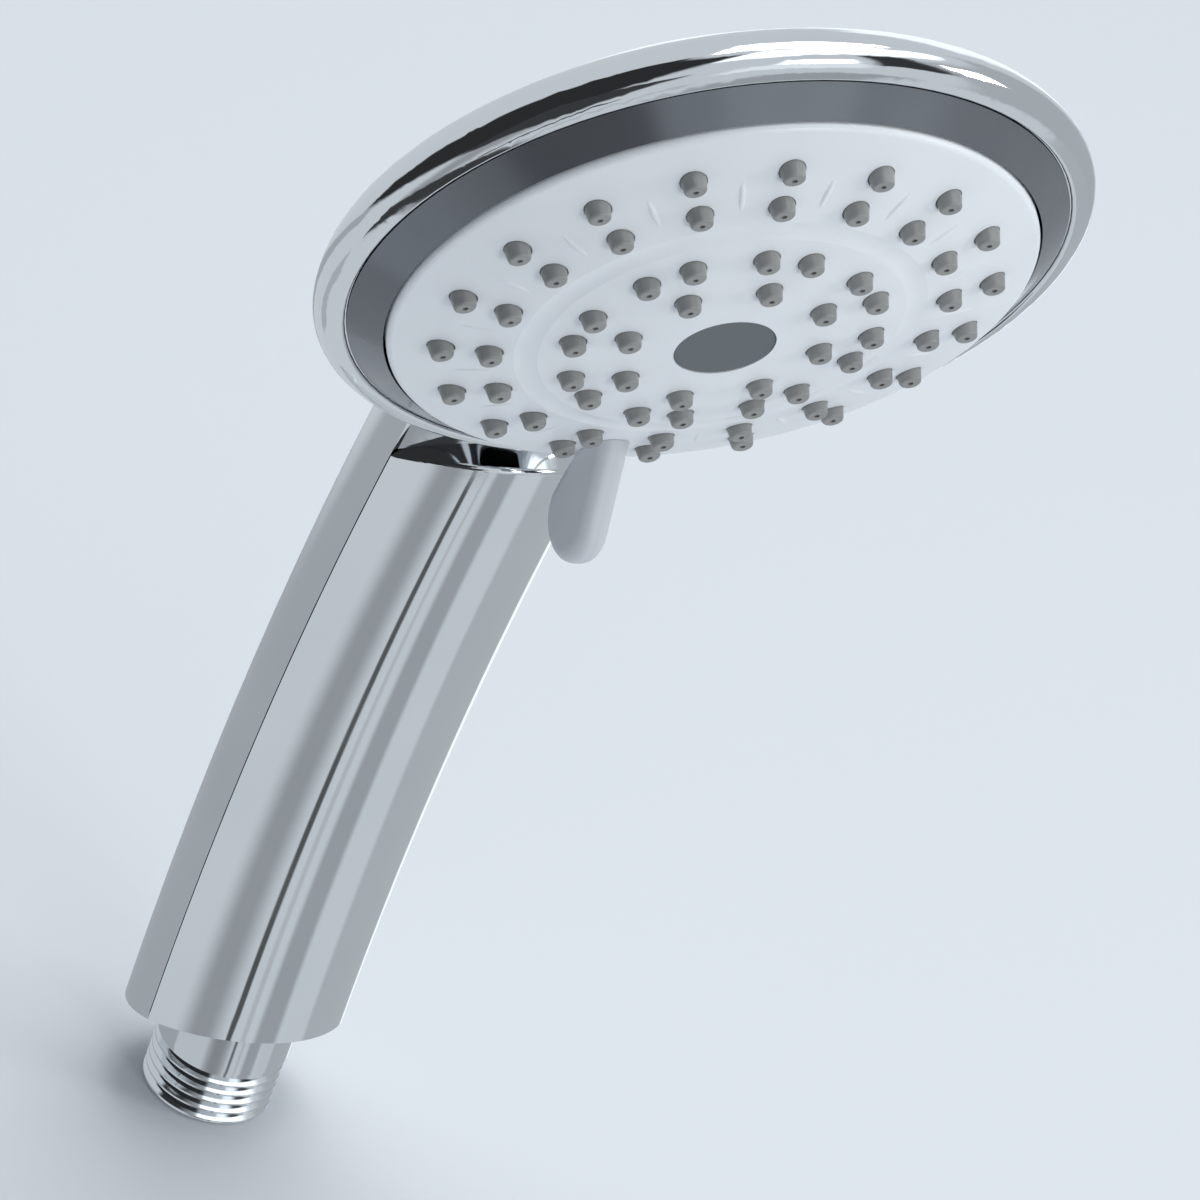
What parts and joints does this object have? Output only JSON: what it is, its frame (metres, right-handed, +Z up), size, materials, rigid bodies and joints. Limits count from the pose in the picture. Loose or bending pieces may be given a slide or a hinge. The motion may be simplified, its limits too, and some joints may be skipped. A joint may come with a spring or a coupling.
{
  "type": "handheld shower head",
  "caption": "Chromed handheld shower head: round nozzle face turned by a small lever to choose the spray, on a gently bowed two-shell handle with a threaded hose inlet.",
  "frame": {"origin": "middle of the hose inlet's sealing face, where the hose washer seats", "axes": "+Z up along the inlet and the foot of the handle, spray towards -Y, +X to the right of the spray seen from behind"},
  "size_m": [0.111, 0.0967, 0.2501],
  "materials": {
    "shell_chrome": "polished chrome plate",
    "bezel_smoke": "dark smoke chrome plate",
    "inlet_chrome": "chrome plated brass",
    "face_white": "white, satin gloss",
    "lever_white": "white, satin gloss",
    "badge_grey": "mid grey, fine satin",
    "nozzle_grey": "grey silicone rubber",
    "inner_plastic": "natural moulded plastic",
    "seal_rubber": "black rubber",
    "filter_mesh": "perforated stainless steel",
    "spring_steel": "stainless steel"
  },
  "bodies": {
    "handset": {"rear_shell": "shell_chrome", "front_shell": "shell_chrome", "bezel_ring": "bezel_smoke", "inlet_connector": "inlet_chrome", "valve_plate": "inner_plastic", "water_tube": "inner_plastic", "handle_end_cap": "inner_plastic", "flow_regulator": "inner_plastic", "hub_seal": "seal_rubber", "port_seal": "seal_rubber", "lower_tube_seal": "seal_rubber", "upper_tube_seal": "seal_rubber", "inlet_filter": "filter_mesh", "port_spring": "spring_steel", "detent_spring": "spring_steel", "detent_ball": "spring_steel", "screw_washer": "spring_steel", "centre_screw": "spring_steel", "plate_screw_1": "spring_steel", "plate_screw_2": "spring_steel", "plate_screw_3": "spring_steel", "plate_screw_4": "spring_steel"},
    "spray_face": {"face_plate": "face_white", "badge_disc": "badge_grey", "outer_nozzle_ring": "nozzle_grey", "inner_nozzle_mat": "nozzle_grey", "selector_lever": "lever_white", "spray_former": "inner_plastic", "former_seal": "seal_rubber"}
  },
  "joints": [
    {"name": "selector_turn", "type": "hinge", "parent": "handset", "child": "spray_face", "pos_m": [0, -0.06492, 0.19506], "axis": [0, -0.9063, -0.4226], "range_deg": [-40, 40]}
  ]
}
